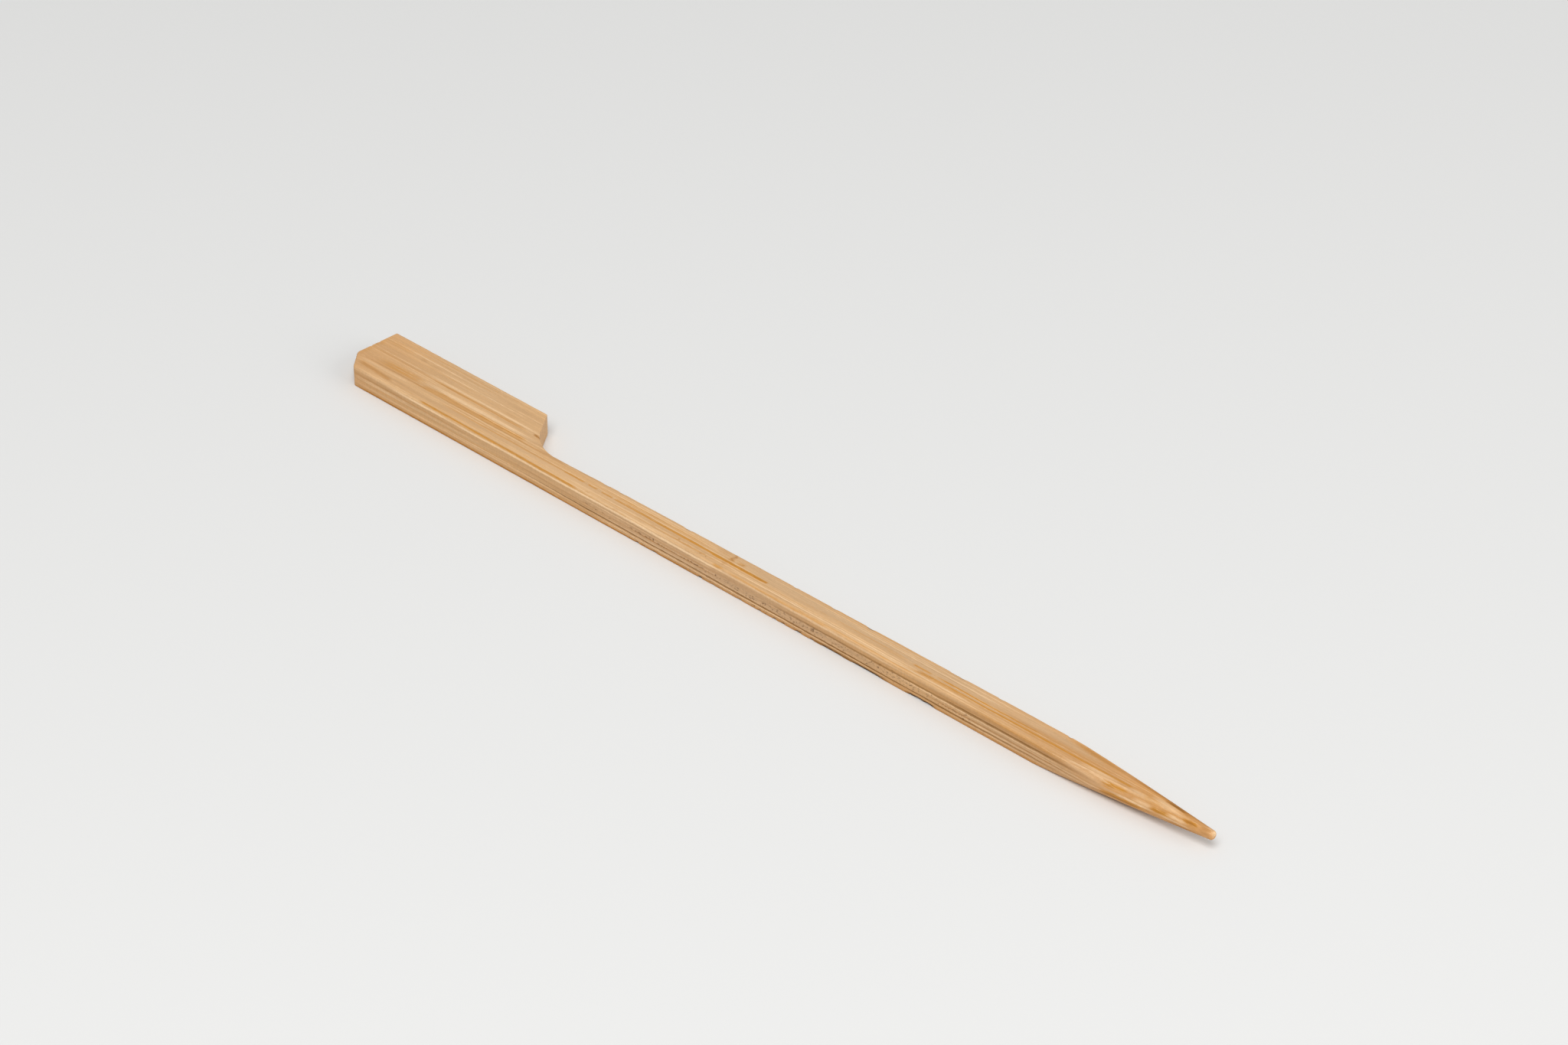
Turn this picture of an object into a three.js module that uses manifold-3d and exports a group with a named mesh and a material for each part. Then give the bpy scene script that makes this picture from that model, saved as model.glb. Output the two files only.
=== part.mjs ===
// A flat bamboo paddle pick: one strip of planed bamboo, milled down on one side into a slim
// shaft that ends in a round point. Millimetres, +Z up. The pick lies on its flat face with
// +X towards the point and the paddle standing out towards +Y.
// The origin is the centre of the pick's footprint, on the face that it rests on.

import * as THREE from 'three';
import { mergeVertices } from 'three/addons/utils/BufferGeometryUtils.js';
import Module from 'manifold-3d';

const wasm = await Module();
wasm.setup();

// Strip
const overallLength = 120;
const thickness = 2.5;
const edgeEase = 0.12;

// Paddle
const paddleLength = 23.7;
const paddleWidth = 7.8;
const farCornerRadius = 0.35;
const chamferAlong = 1.8;
const chamferAcross = 2.1;
const chamferCornerRadius = 0.6;

// Shoulder between the paddle and the shaft
const shoulderAngle = THREE.MathUtils.degToRad( 54 );
const coveRadius = 6;

// Shaft
const shaftRootWidth = 2.65;
const shaftPointWidth = 3.05;

// Point
const pointLength = 21;
const pointSwell = 0.06;
const tipRadius = 0.48;
const tipRounding = 0.3;
const pointStartHeight = 1.38;
const tipHeight = 1.66;

// Fineness of the round stretches
const arcStep = THREE.MathUtils.degToRad( 9 );
const easeSteps = 2;
const pointSides = 40;
const flankSteps = 12;
const tipSteps = 5;

// Colour and finish of planed bamboo
const bambooColor = 0xd6ac7b;
const bambooRoughness = 0.62;

// The pick's own frame: the paddle's end at x = 0, its straight long edge at y = 0
const pointStart = overallLength - pointLength;
const shaftEdgeSlope = ( shaftPointWidth - shaftRootWidth ) / ( pointStart - paddleLength );

function shaftWidthAt( x ) {

	return shaftRootWidth + shaftEdgeSlope * ( x - paddleLength );

}

// Points of the arc that rounds the corner between two straight edges, tangent to both
function roundedCorner( before, corner, after, radius ) {

	const toBefore = before.clone().sub( corner ).normalize();
	const toAfter = after.clone().sub( corner ).normalize();
	const halfAngle = Math.acos( THREE.MathUtils.clamp( toBefore.dot( toAfter ), - 1, 1 ) ) / 2;
	const bisector = toBefore.clone().add( toAfter ).normalize();
	const centre = corner.clone().addScaledVector( bisector, radius / Math.sin( halfAngle ) );
	const tangentLength = radius / Math.tan( halfAngle );
	const start = corner.clone().addScaledVector( toBefore, tangentLength ).sub( centre );
	const turn = Math.PI - 2 * halfAngle;
	const side = Math.sign( toBefore.cross( toAfter ) );
	const count = Math.max( 2, Math.ceil( turn / arcStep ) );
	const points = [];
	for ( let i = 0; i <= count; i ++ ) {

		const spoke = start.clone().rotateAround( new THREE.Vector2(), - side * turn * i / count );
		points.push( spoke.add( centre ) );

	}

	return points;

}

// Where the slanting shoulder meets the line of the shaft's far edge
function shoulderFoot() {

	const drop = paddleWidth - shaftRootWidth;
	const run = drop / ( Math.tan( shoulderAngle ) + shaftEdgeSlope );
	return new THREE.Vector2( paddleLength + run, shaftWidthAt( paddleLength + run ) );

}

// Outline seen from above, counter-clockwise: the long straight edge, the shaft's far edge,
// the cove, the shoulder, the paddle's far edge, its sawn end and the chamfered near corner
function pickOutline() {

	const chamferNear = new THREE.Vector2( chamferAlong, 0 );
	const chamferEnd = new THREE.Vector2( 0, chamferAcross );
	const pointNear = new THREE.Vector2( overallLength, 0 );
	const pointFar = new THREE.Vector2( overallLength, shaftWidthAt( overallLength ) );
	const foot = shoulderFoot();
	const shoulderTop = new THREE.Vector2( paddleLength, paddleWidth );
	const endFar = new THREE.Vector2( 0, paddleWidth );

	return new THREE.Shape( [
		...roundedCorner( chamferEnd, chamferNear, pointNear, chamferCornerRadius ),
		pointNear,
		pointFar,
		...roundedCorner( pointFar, foot, shoulderTop, coveRadius ),
		shoulderTop,
		...roundedCorner( shoulderTop, endFar, chamferEnd, farCornerRadius ),
		...roundedCorner( endFar, chamferEnd, chamferNear, chamferCornerRadius ),
	] );

}

// The strip cut to its outline, with every edge of its two flat faces eased
function makeBlank() {

	const blank = new THREE.ExtrudeGeometry( pickOutline(), {
		steps: 1,
		depth: thickness - 2 * edgeEase,
		bevelEnabled: true,
		bevelThickness: edgeEase,
		bevelSize: edgeEase,
		bevelOffset: - edgeEase,
		bevelSegments: easeSteps,
	} );
	blank.translate( 0, 0, edgeEase );
	return blank;

}

// The turned form that shapes the point: a slightly swelling flank that starts at the
// shaft's lower corners and ends in a small blunt tip with a rounded rim, and behind it a
// cylinder wide enough to leave the shaft and the paddle as they are. Its axis lies above
// the middle of the strip and rises towards the tip, so more is taken off below than above.
function makePointEnvelope() {

	const pointStartWidth = shaftWidthAt( pointStart );
	const startCentre = new THREE.Vector3( pointStart, pointStartWidth / 2, pointStartHeight );
	const tipCentre = new THREE.Vector3( overallLength, pointStartWidth / 2, tipHeight );
	const axis = tipCentre.clone().sub( startCentre );
	const axisLength = axis.length();
	const startRise = Math.max( pointStartHeight, thickness - pointStartHeight );
	const startRadius = Math.hypot( pointStartWidth / 2, startRise );
	const clearRadius = overallLength;
	const flankLength = axisLength - tipRounding;

	const profile = [ new THREE.Vector2( 0, - overallLength ), new THREE.Vector2( clearRadius, - overallLength ) ];
	profile.push( new THREE.Vector2( clearRadius, 0 ) );
	for ( let i = 0; i <= flankSteps; i ++ ) {

		const u = i / flankSteps;
		const swell = 4 * pointSwell * u * ( 1 - u );
		profile.push( new THREE.Vector2( THREE.MathUtils.lerp( startRadius, tipRadius, u ) + swell, flankLength * u ) );

	}

	const rimRadius = tipRadius - tipRounding;
	for ( let i = 1; i <= tipSteps; i ++ ) {

		const angle = Math.PI / 2 * i / tipSteps;
		const radius = rimRadius + tipRounding * Math.cos( angle );
		profile.push( new THREE.Vector2( radius, flankLength + tipRounding * Math.sin( angle ) ) );

	}

	profile.push( new THREE.Vector2( 0, axisLength ) );

	const envelope = new THREE.LatheGeometry( profile, pointSides );
	const turn = new THREE.Quaternion().setFromUnitVectors( new THREE.Vector3( 0, 1, 0 ), axis.normalize() );
	envelope.applyQuaternion( turn );
	envelope.translate( startCentre.x, startCentre.y, startCentre.z );
	return envelope;

}

// A closed geometry with its shared vertices merged, as a solid that can be cut
function toSolid( geometry ) {

	const bare = geometry.clone();
	bare.deleteAttribute( 'normal' );
	bare.deleteAttribute( 'uv' );
	const merged = mergeVertices( bare );
	return new wasm.Manifold( new wasm.Mesh( {
		numProp: 3,
		vertProperties: new Float32Array( merged.attributes.position.array ),
		triVerts: new Uint32Array( merged.index.array ),
	} ) );

}

function toGeometry( solid ) {

	const mesh = solid.getMesh();
	const geometry = new THREE.BufferGeometry();
	geometry.setAttribute( 'position', new THREE.BufferAttribute( mesh.vertProperties, mesh.numProp ) );
	geometry.setIndex( new THREE.BufferAttribute( mesh.triVerts, 1 ) );
	geometry.computeVertexNormals();
	return geometry;

}

function makePick() {

	const pointed = toSolid( makeBlank() ).intersect( toSolid( makePointEnvelope() ) );
	const material = new THREE.MeshStandardMaterial( {
		color: bambooColor,
		roughness: bambooRoughness,
		metalness: 0,
	} );
	const pick = new THREE.Mesh( toGeometry( pointed ), material );
	pick.name = 'bamboo_pick';
	pick.position.set( - overallLength / 2, - paddleWidth / 2, 0 );
	return pick;

}

const part = new THREE.Group();
part.add( makePick() );

export default part;
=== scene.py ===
"""A flat bamboo paddle pick: a planed strip with a wide grip, a slim shaft and a turned point.

Lengths are millimetres in the strip's own directions, which start at the low corner of its box:
along runs from the sawn end to the tip, across from the straight long edge to the far one, and
up from the face that the pick lies on. They become metres where a vertex or a pattern is placed.
"""

import logging
import math
import random
from dataclasses import dataclass
from enum import Enum

import bmesh
import bpy
from mathutils import Matrix, Vector, noise


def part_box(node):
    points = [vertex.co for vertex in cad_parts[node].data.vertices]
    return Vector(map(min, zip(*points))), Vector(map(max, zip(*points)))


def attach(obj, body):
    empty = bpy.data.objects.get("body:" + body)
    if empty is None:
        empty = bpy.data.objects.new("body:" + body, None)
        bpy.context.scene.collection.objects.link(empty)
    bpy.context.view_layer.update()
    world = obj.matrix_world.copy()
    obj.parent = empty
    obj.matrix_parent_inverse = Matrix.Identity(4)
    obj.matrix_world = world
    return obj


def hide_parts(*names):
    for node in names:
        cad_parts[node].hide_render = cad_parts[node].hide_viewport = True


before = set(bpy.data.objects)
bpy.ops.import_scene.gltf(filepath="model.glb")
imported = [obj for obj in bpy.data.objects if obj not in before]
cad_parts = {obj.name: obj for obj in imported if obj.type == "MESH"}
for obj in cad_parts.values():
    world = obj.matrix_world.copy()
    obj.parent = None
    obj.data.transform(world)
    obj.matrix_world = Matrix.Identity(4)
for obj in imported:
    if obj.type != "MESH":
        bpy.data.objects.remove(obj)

Pair = tuple[float, float]
Triple = tuple[float, float, float]
Colour = tuple[float, float, float, float]

LOG = logging.getLogger("pick")
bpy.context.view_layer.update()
CAD_NODE = "bamboo_pick"
MM = 0.001


def smooth_step(low: float, high: float, value: float) -> float:
    """A soft step from 0 at low to 1 at high, which may be the smaller of the two."""
    share = min(1.0, max(0.0, (value - low) / (high - low)))
    return share * share * (3.0 - 2.0 * share)


def mix(first: float, second: float, share: float) -> float:
    """The value that lies a share of the way from the first to the second."""
    return first + (second - first) * share


def grain(along: float, across: float, up: float, length: float, width: float, seed: float) -> float:
    """A fibre pattern from -1 to 1 whose features have a length along the strip and a width."""
    return noise.noise(Vector((along / length + seed, across / width - seed, up / width + seed)))


def add_object(name: str, data: bpy.types.ID) -> bpy.types.Object:
    """Adds an object to the scene.

    Args:
        name: The object's name.
        data: What it shows, such as a mesh or a lamp.

    Returns:
        The object.
    """
    made = bpy.data.objects.new(name, data)
    bpy.context.scene.collection.objects.link(made)
    return made


@dataclass(frozen=True)
class Corner:
    """A corner of a long edge's line seen from above, with the radius that rounds it."""

    along: float
    across: float
    radius: float = 0.0


@dataclass(frozen=True)
class Arc:
    """A round stretch of a long edge's line, from one place along the strip to another."""

    start: float
    end: float
    centre: Vector
    radius: float
    turn: float

    def across_at(self, along: float) -> float:
        """The arc's place across the strip at a place along it."""
        reach = self.radius**2 - (along - self.centre.x) ** 2
        return self.centre.y + self.turn * math.sqrt(max(0.0, reach))


class EdgeLine:
    """A long edge of the strip seen from above: straight runs that are joined by arcs."""

    def __init__(self, corners: list[Corner]) -> None:
        """Takes the corners in order along the strip, of which the first and last stay sharp."""
        self.corners = corners
        self.arcs = [self._arc(*three) for three in zip(corners, corners[1:], corners[2:])]

    @staticmethod
    def _arc(before: Corner, corner: Corner, after: Corner) -> Arc:
        """The arc that rounds one corner.

        Args:
            before: The corner before it.
            corner: The corner that is rounded.
            after: The corner after it.

        Returns:
            The arc, tangent to both runs.
        """
        middle = Vector((corner.along, corner.across))
        back = (Vector((before.along, before.across)) - middle).normalized()
        ahead = (Vector((after.along, after.across)) - middle).normalized()
        half = back.angle(ahead) / 2
        inwards = (back + ahead).normalized()
        centre = middle + inwards * (corner.radius / math.sin(half))
        tangent = corner.radius / math.tan(half)
        return Arc(
            start=(middle + back * tangent).x,
            end=(middle + ahead * tangent).x,
            centre=centre,
            radius=corner.radius,
            turn=-math.copysign(1.0, inwards.y),
        )

    def across_at(self, along: float) -> float:
        """The line's place across the strip.

        Args:
            along: Place along the strip.

        Returns:
            The place across the strip there.
        """
        for arc in self.arcs:
            if arc.start <= along <= arc.end:
                return arc.across_at(along)
        for first, second in zip(self.corners, self.corners[1:]):
            if first.along <= along <= second.along and second.along > first.along:
                share = (along - first.along) / (second.along - first.along)
                return mix(first.across, second.across, share)
        return self.corners[-1].across


class Edge(Enum):
    """The four long edges of the strip: whether far, whether above, and the rounding radius."""

    NEAR_TOP = (0.0, 1.0, 0.25)
    FAR_TOP = (1.0, 1.0, 0.05)
    FAR_UNDER = (1.0, 0.0, 0.2)
    NEAR_UNDER = (0.0, 0.0, 0.05)

    @property
    def radius(self) -> float:
        """The radius that rounds this edge."""
        return self.value[2]


@dataclass(frozen=True)
class Section:
    """The strip's cross section at one place: its four sides."""

    near: float
    far: float
    low: float
    high: float

    def corner(self, edge: Edge) -> Pair:
        """The sharp corner at an edge, as its places across and up."""
        return mix(self.near, self.far, edge.value[0]), mix(self.low, self.high, edge.value[1])

    def centre(self, edge: Edge) -> Pair:
        """The centre of an edge's rounding, as its places across and up."""
        across, up = self.corner(edge)
        return across + edge.radius * (1 - 2 * edge.value[0]), up + edge.radius * (1 - 2 * edge.value[1])


@dataclass(frozen=True)
class RingPoint:
    """One point of the ring that is drawn out along the strip.

    It lies a share of the way from one edge's rounding to the next and faces outward, across and
    up. Its span is its share of the way from the near side to the far one.
    """

    first: Edge
    second: Edge
    share: float
    span: float
    outward: Pair

    @property
    def on_near_side(self) -> bool:
        """Whether the point lies on the sawn near side."""
        return self.first is Edge.NEAR_UNDER and self.second is Edge.NEAR_TOP

    @property
    def sawn(self) -> float:
        """1 on the two sawn long sides, 0 on the planed faces, and between them on the edges."""
        return smooth_step(0.6, 0.95, abs(self.outward[0]))

    def place(self, section: Section) -> Pair:
        """The point's place in a cross section.

        Args:
            section: The cross section.

        Returns:
            Its places across and up.
        """
        radius = mix(self.first.radius, self.second.radius, self.share)
        start, end = section.centre(self.first), section.centre(self.second)
        across = mix(start[0], end[0], self.share) + radius * self.outward[0]
        return across, mix(start[1], end[1], self.share) + radius * self.outward[1]


def make_ring(face_steps: int, near_steps: int, far_steps: int, edge_steps: int) -> list[RingPoint]:
    """Lays out the ring's points round the section.

    Args:
        face_steps: Steps across each planed face.
        near_steps: Steps up the near side.
        far_steps: Steps up the far side.
        edge_steps: Steps round each edge.

    Returns:
        The points in order, from the near side over the top to the far side and back below.
    """
    # Which way each long side faces, in degrees
    far, top, near, under = 0, 90, 180, 270
    stretches = (
        (Edge.NEAR_TOP, Edge.NEAR_TOP, (near, top), (0, 0), edge_steps),
        (Edge.NEAR_TOP, Edge.FAR_TOP, (top, top), (0, 1), face_steps),
        (Edge.FAR_TOP, Edge.FAR_TOP, (top, far), (1, 1), edge_steps),
        (Edge.FAR_TOP, Edge.FAR_UNDER, (far, far), (1, 1), far_steps),
        (Edge.FAR_UNDER, Edge.FAR_UNDER, (far, under - 360), (1, 1), edge_steps),
        (Edge.FAR_UNDER, Edge.NEAR_UNDER, (under, under), (1, 0), face_steps),
        (Edge.NEAR_UNDER, Edge.NEAR_UNDER, (under, near), (0, 0), edge_steps),
        (Edge.NEAR_UNDER, Edge.NEAR_TOP, (near, near), (0, 0), near_steps),
    )
    ring = []
    for first, second, facing, span, steps in stretches:
        for step in range(steps):
            share = step / steps
            turn = math.radians(mix(*facing, share))
            ring.append(RingPoint(first, second, share, mix(*span, share), (math.cos(turn), math.sin(turn))))
    return ring


@dataclass(frozen=True)
class Station:
    """A place along the strip that the ring passes, and how far the ring is closed there."""

    along: float
    closing: float = 0.0


@dataclass(frozen=True)
class Groove:
    """A long shallow groove in the near side."""

    start: float
    end: float
    up: float
    rise: float
    half_width: float
    depth: float
    fade: float = 5.0

    def depth_at(self, along: float, up: float) -> float:
        """How deep the groove is at a place on the near side.

        Args:
            along: Place along the strip.
            up: Height on the near side.

        Returns:
            The depth there.
        """
        middle = self.up + self.rise * (along - self.start)
        ends = smooth_step(self.start, self.start + self.fade, along)
        ends *= smooth_step(self.end, self.end - self.fade, along)
        return self.depth * ends * math.exp(-(((up - middle) / self.half_width) ** 2))


@dataclass(frozen=True)
class Notch:
    """A chip out of a long edge: its middle along the strip, its length and its depth."""

    along: float
    length: float
    depth: float

    def depth_at(self, along: float) -> float:
        """How deep the chip is at a place along the strip."""
        off = abs(along - self.along) / (self.length / 2)
        return self.depth * smooth_step(1.0, 0.55, off)


@dataclass(frozen=True)
class Pore:
    """A small open pit in the near side."""

    along: float
    up: float
    half_length: float
    half_height: float
    depth: float

    def depth_at(self, along: float, up: float) -> float:
        """How deep the pit is at a place on the near side."""
        off = math.hypot((along - self.along) / self.half_length, (up - self.up) / self.half_height)
        return self.depth * smooth_step(1.3, 0.3, off)


GROOVES = (
    Groove(start=26, end=99, up=0.76, rise=-0.0037, half_width=0.07, depth=0.04),
    Groove(start=62, end=107, up=1.54, rise=0.003, half_width=0.11, depth=0.045),
    Groove(start=84, end=108, up=0.86, rise=0.0, half_width=0.06, depth=0.03),
)

NOTCHES = {
    Edge.FAR_TOP: tuple(Notch(*sizes) for sizes in (
        (38.3, 1.0, 0.06), (40.6, 0.9, 0.05), (50.2, 1.3, 0.07), (65.2, 0.6, 0.05), (70.5, 0.7, 0.05),
        (75.4, 1.3, 0.07), (87.0, 2.6, 0.06), (92.4, 0.7, 0.05), (101.2, 0.5, 0.08),
    )),
    Edge.NEAR_UNDER: tuple(Notch(*sizes) for sizes in (
        (45.6, 0.5, 0.09), (48.0, 1.2, 0.05), (54.6, 0.6, 0.12), (56.4, 0.4, 0.06), (60.2, 0.7, 0.06),
        (63.0, 0.5, 0.08), (65.1, 0.5, 0.12), (66.2, 0.8, 0.06), (68.4, 1.1, 0.11), (70.2, 0.6, 0.07),
        (73.0, 3.4, 0.09), (77.6, 4.6, 0.11), (84.8, 3.8, 0.2), (103.6, 0.6, 0.12),
    )),
}


def make_pores(rows: tuple[tuple[float, float, float, float, int], ...], seed: int) -> list[Pore]:
    """Scatters pores in rows along the near side.

    Args:
        rows: For each row its start, its end, its height, its spread in height and its count.
        seed: Seed of the random draws.

    Returns:
        The pores.
    """
    draw = random.Random(seed)
    return [
        Pore(
            along=draw.uniform(start, end),
            up=draw.gauss(height, spread),
            half_length=draw.uniform(0.1, 0.16),
            half_height=draw.uniform(0.06, 0.13),
            depth=draw.uniform(0.03, 0.07),
        )
        for start, end, height, spread, count in rows
        for _ in range(count)
    ]


PORE_ROWS = (
    (38.0, 46.0, 1.32, 0.1, 12),
    (45.0, 55.0, 1.3, 0.035, 34),
    (44.0, 60.0, 1.05, 0.2, 16),
    (54.0, 72.0, 1.2, 0.14, 40),
    (72.0, 84.0, 1.1, 0.2, 26),
    (44.0, 72.0, 0.22, 0.06, 14),
)
SINGLE_PORES = [Pore(*sizes) for sizes in (
    (70.35, 1.22, 0.12, 0.3, 0.1), (68.9, 1.12, 0.1, 0.16, 0.06), (67.3, 1.22, 0.09, 0.24, 0.08),
    (63.8, 1.2, 0.1, 0.26, 0.09), (56.8, 1.35, 0.12, 0.2, 0.07), (79.1, 1.12, 0.14, 0.14, 0.09),
    (86.0, 1.5, 0.16, 0.1, 0.07), (90.3, 0.62, 0.16, 0.1, 0.08), (47.9, 1.45, 0.1, 0.2, 0.08),
)]


@dataclass(frozen=True)
class Point:
    """The turned point: a slightly swelling flank that ends in a blunt tip with a rounded rim."""

    length: float = 21.0
    swell: float = 0.07
    tip_radius: float = 0.48
    tip_rounding: float = 0.3
    start_height: float = 1.42
    tip_height: float = 1.69
    blend: float = 0.07
    blend_run: float = 2.0

    def centre_up(self, past: float) -> float:
        """Height of the axis at a distance past the point's start."""
        return mix(self.start_height, self.tip_height, past / self.length)

    def radius_at(self, past: float, width: float, thickness: float) -> float:
        """The turned radius.

        Args:
            past: Distance past the point's start.
            width: Width of the strip where the point starts.
            thickness: Thickness of the strip.

        Returns:
            The radius about the axis there.
        """
        start_rise = max(self.start_height, thickness - self.start_height)
        start_radius = math.hypot(width / 2, start_rise)
        flank = self.length - self.tip_rounding
        if past <= flank:
            share = past / flank
            return mix(start_radius, self.tip_radius, share) + 4 * self.swell * share * (1 - share)
        drop = min(1.0, (past - flank) / self.tip_rounding)
        return self.tip_radius - self.tip_rounding * (1 - math.sqrt(1 - drop * drop))


@dataclass(frozen=True)
class Slice:
    """The pick at one station: its cross section, the wear of its edges and its pores there."""

    station: Station
    section: Section
    wear: dict[Edge, float]
    pores: tuple[Pore, ...]

    def wear_at(self, across: float, up: float, reach: float = 0.34) -> float:
        """How much of an edge is worn or chipped away at a place in the section.

        Args:
            across: Place across the strip.
            up: Height in it.
            reach: How far from its corner an edge's wear is felt.

        Returns:
            The depth there.
        """
        depth = 0.0
        for edge, wear in self.wear.items():
            corner = self.section.corner(edge)
            off = math.hypot(across - corner[0], up - corner[1])
            if off < reach:
                depth = max(depth, wear * smooth_step(reach, 0.05, off))
        return depth


@dataclass
class PickBody:
    """The whole pick: one bamboo strip with its paddle, shoulder, shaft and point."""

    length: float
    width: float
    thickness: float
    origin: Vector
    paddle_length: float = 23.9
    far_corner_radius: float = 0.2
    chamfer_along: float = 1.8
    chamfer_across: float = 2.1
    chamfer_radius: float = 0.6
    shoulder_angle: float = 55.0
    shoulder_radius: float = 0.15
    cove_radius: float = 6.0
    shaft_root_width: float = 2.65
    shaft_point_width: float = 3.05
    end_ease: float = 0.06
    # How far the shaft's far edge stands out, and the runs over which that comes in and goes out
    shaft_swell: float = 0.05
    swell_start: Pair = (27.0, 31.0)
    swell_end: Pair = (104.0, 98.0)
    shoulder_dip: float = 0.14
    dip_end: Pair = (31.0, 41.0)
    # The run over which the sawn finish ends, and how much a cut end has to face along the strip
    sawn_end: Pair = (108.0, 100.0)
    cut_facing: Pair = (0.3, 0.55)
    ragged_depth: float = 0.4
    ragged_reach: float = 0.9
    # How deep a pit must be for its painted shade to be full, and the share of a chip's depth that adds to
    # that shade
    full_pit_shade: float = 0.08
    chip_shade_share: float = 0.6
    # How far from the sawn end and from the tip the relief has its full depth
    calm_end: float = 0.3
    calm_tip: float = 0.6
    weld: float = 1e-7
    point: Point = Point()

    @property
    def point_start(self) -> float:
        """Place along the strip where the point starts."""
        return self.length - self.point.length

    def shaft_width(self, along: float) -> float:
        """The shaft's width at a place along the strip."""
        share = (along - self.paddle_length) / (self.point_start - self.paddle_length)
        return mix(self.shaft_root_width, self.shaft_point_width, share)

    def edge_lines(self) -> tuple[EdgeLine, EdgeLine]:
        """Draws the two long edges as they are seen from above.

        Returns:
            The near edge and the far one.
        """
        near = EdgeLine([
            Corner(0, self.width),
            Corner(0, self.chamfer_across, self.chamfer_radius),
            Corner(self.chamfer_along, 0, self.chamfer_radius),
            Corner(self.length, 0),
        ])
        slope = self.shaft_width(1) - self.shaft_width(0)
        drop = self.width - self.shaft_root_width
        run = drop / (math.tan(math.radians(self.shoulder_angle)) + slope)
        foot = self.paddle_length + run
        far = EdgeLine([
            Corner(0, 0),
            Corner(0, self.width, self.far_corner_radius),
            Corner(self.paddle_length, self.width, self.shoulder_radius),
            Corner(foot, self.shaft_width(foot), self.cove_radius),
            Corner(self.length, self.shaft_width(self.length)),
        ])
        return near, far

    def stations(self) -> list[Station]:
        """Lays out the places that the ring passes, closest at the ends and round the shoulder.

        Returns:
            The stations, from the middle of the sawn end to the middle of the tip.
        """
        # Where each run along the strip ends, and its step
        runs = (
            (2.4, 0.11), (self.paddle_length - 0.4, 0.29), (31.0, 0.13), (42.0, 0.21), (72.0, 0.16),
            (104.0, 0.21), (self.length - self.point.tip_rounding, 0.22),
        )
        closing_rows, rim_rows, tip_rows = 12, 6, 3
        places = [Station(0.0, 1 - row / closing_rows) for row in range(closing_rows)]
        quarter = [math.pi / 2 * row / rim_rows for row in range(rim_rows)]
        places += [Station(self.end_ease * (1 - math.cos(turn))) for turn in quarter]
        start = self.end_ease
        for end, step in runs:
            count = round((end - start) / step)
            places += [Station(mix(start, end, row / count)) for row in range(count)]
            start = end
        places += [Station(start + self.point.tip_rounding * math.sin(turn)) for turn in quarter]
        places += [Station(self.length, row / tip_rows) for row in range(tip_rows + 1)]
        return places

    def section_at(self, along: float, near: EdgeLine, far: EdgeLine) -> Section:
        """The strip's cross section before the point is turned.

        Args:
            along: Place along the strip.
            near: The near long edge.
            far: The far long edge.

        Returns:
            The section, drawn in a little where it meets the sawn end.
        """
        inset = 0.0
        if along < self.end_ease:
            inset = self.end_ease - math.sqrt(self.end_ease**2 - (self.end_ease - along) ** 2)
        on_shaft = smooth_step(*self.swell_start, along) * smooth_step(*self.swell_end, along)
        waver = self.shaft_swell + 0.03 * noise.noise(Vector((along / 11.0, 3.3, 0.4)))
        waver -= self.shoulder_dip * (1 - smooth_step(*self.dip_end, along))
        waver += 0.02 * noise.noise(Vector((along / 2.1, 8.7, 1.9)))
        return Section(
            near=near.across_at(along) + inset,
            far=far.across_at(along) - inset + on_shaft * waver,
            low=inset,
            high=self.thickness - inset,
        )

    def turn_point(self, along: float, across: float, up: float) -> Triple:
        """Draws a place in to the turned point.

        Args:
            along: Place along the strip.
            across: Place across it.
            up: Height in it.

        Returns:
            The new places across and up, and how much of the place was turned, 0 to 1.
        """
        past = along - self.point_start
        if past <= 0:
            return across, up, 0.0
        width = self.shaft_width(self.point_start)
        middle, height = width / 2, self.point.centre_up(past)
        reach = math.hypot(across - middle, up - height)
        radius = self.point.radius_at(past, width, self.thickness)
        soft = self.point.blend * smooth_step(0.0, self.point.blend_run, past)
        overlap = max(0.0, soft - abs(reach - radius)) / soft if soft > 0 else 0.0
        turned = min(reach, radius) - overlap * overlap * soft / 4
        share = turned / reach
        amount = smooth_step(-self.point.blend, self.point.blend, reach - radius)
        return middle + (across - middle) * share, height + (up - height) * share, amount

    @staticmethod
    def edge_wear(along: float, edge: Edge) -> float:
        """How much of a long edge is worn or chipped away.

        Args:
            along: Place along the strip.
            edge: The edge.

        Returns:
            The depth there.
        """
        track = 3.1 * edge.value[0] + 6.7 * edge.value[1]
        wear = 0.02 * max(0.0, grain(along, track, 0.0, length=0.9, width=1.0, seed=5.5))
        wear += 0.02 * max(0.0, grain(along, track, 0.0, length=0.3, width=1.0, seed=9.1))
        chips = max((notch.depth_at(along) for notch in NOTCHES.get(edge, ())), default=0.0)
        return wear + chips * (0.8 + 0.5 * grain(along, track, 0.0, length=0.35, width=1.0, seed=2.2))

    def slices(self) -> list[Slice]:
        """Works out the pick at every station.

        Returns:
            The slices in order along the strip.
        """
        near, far = self.edge_lines()
        pores = make_pores(PORE_ROWS, seed=11) + SINGLE_PORES
        made = []
        for station in self.stations():
            along = station.along
            made.append(Slice(
                station=station,
                section=self.section_at(along, near, far),
                wear={edge: self.edge_wear(along, edge) for edge in Edge},
                pores=tuple(pore for pore in pores if abs(pore.along - along) < 2 * pore.half_length),
            ))
        return made

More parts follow.
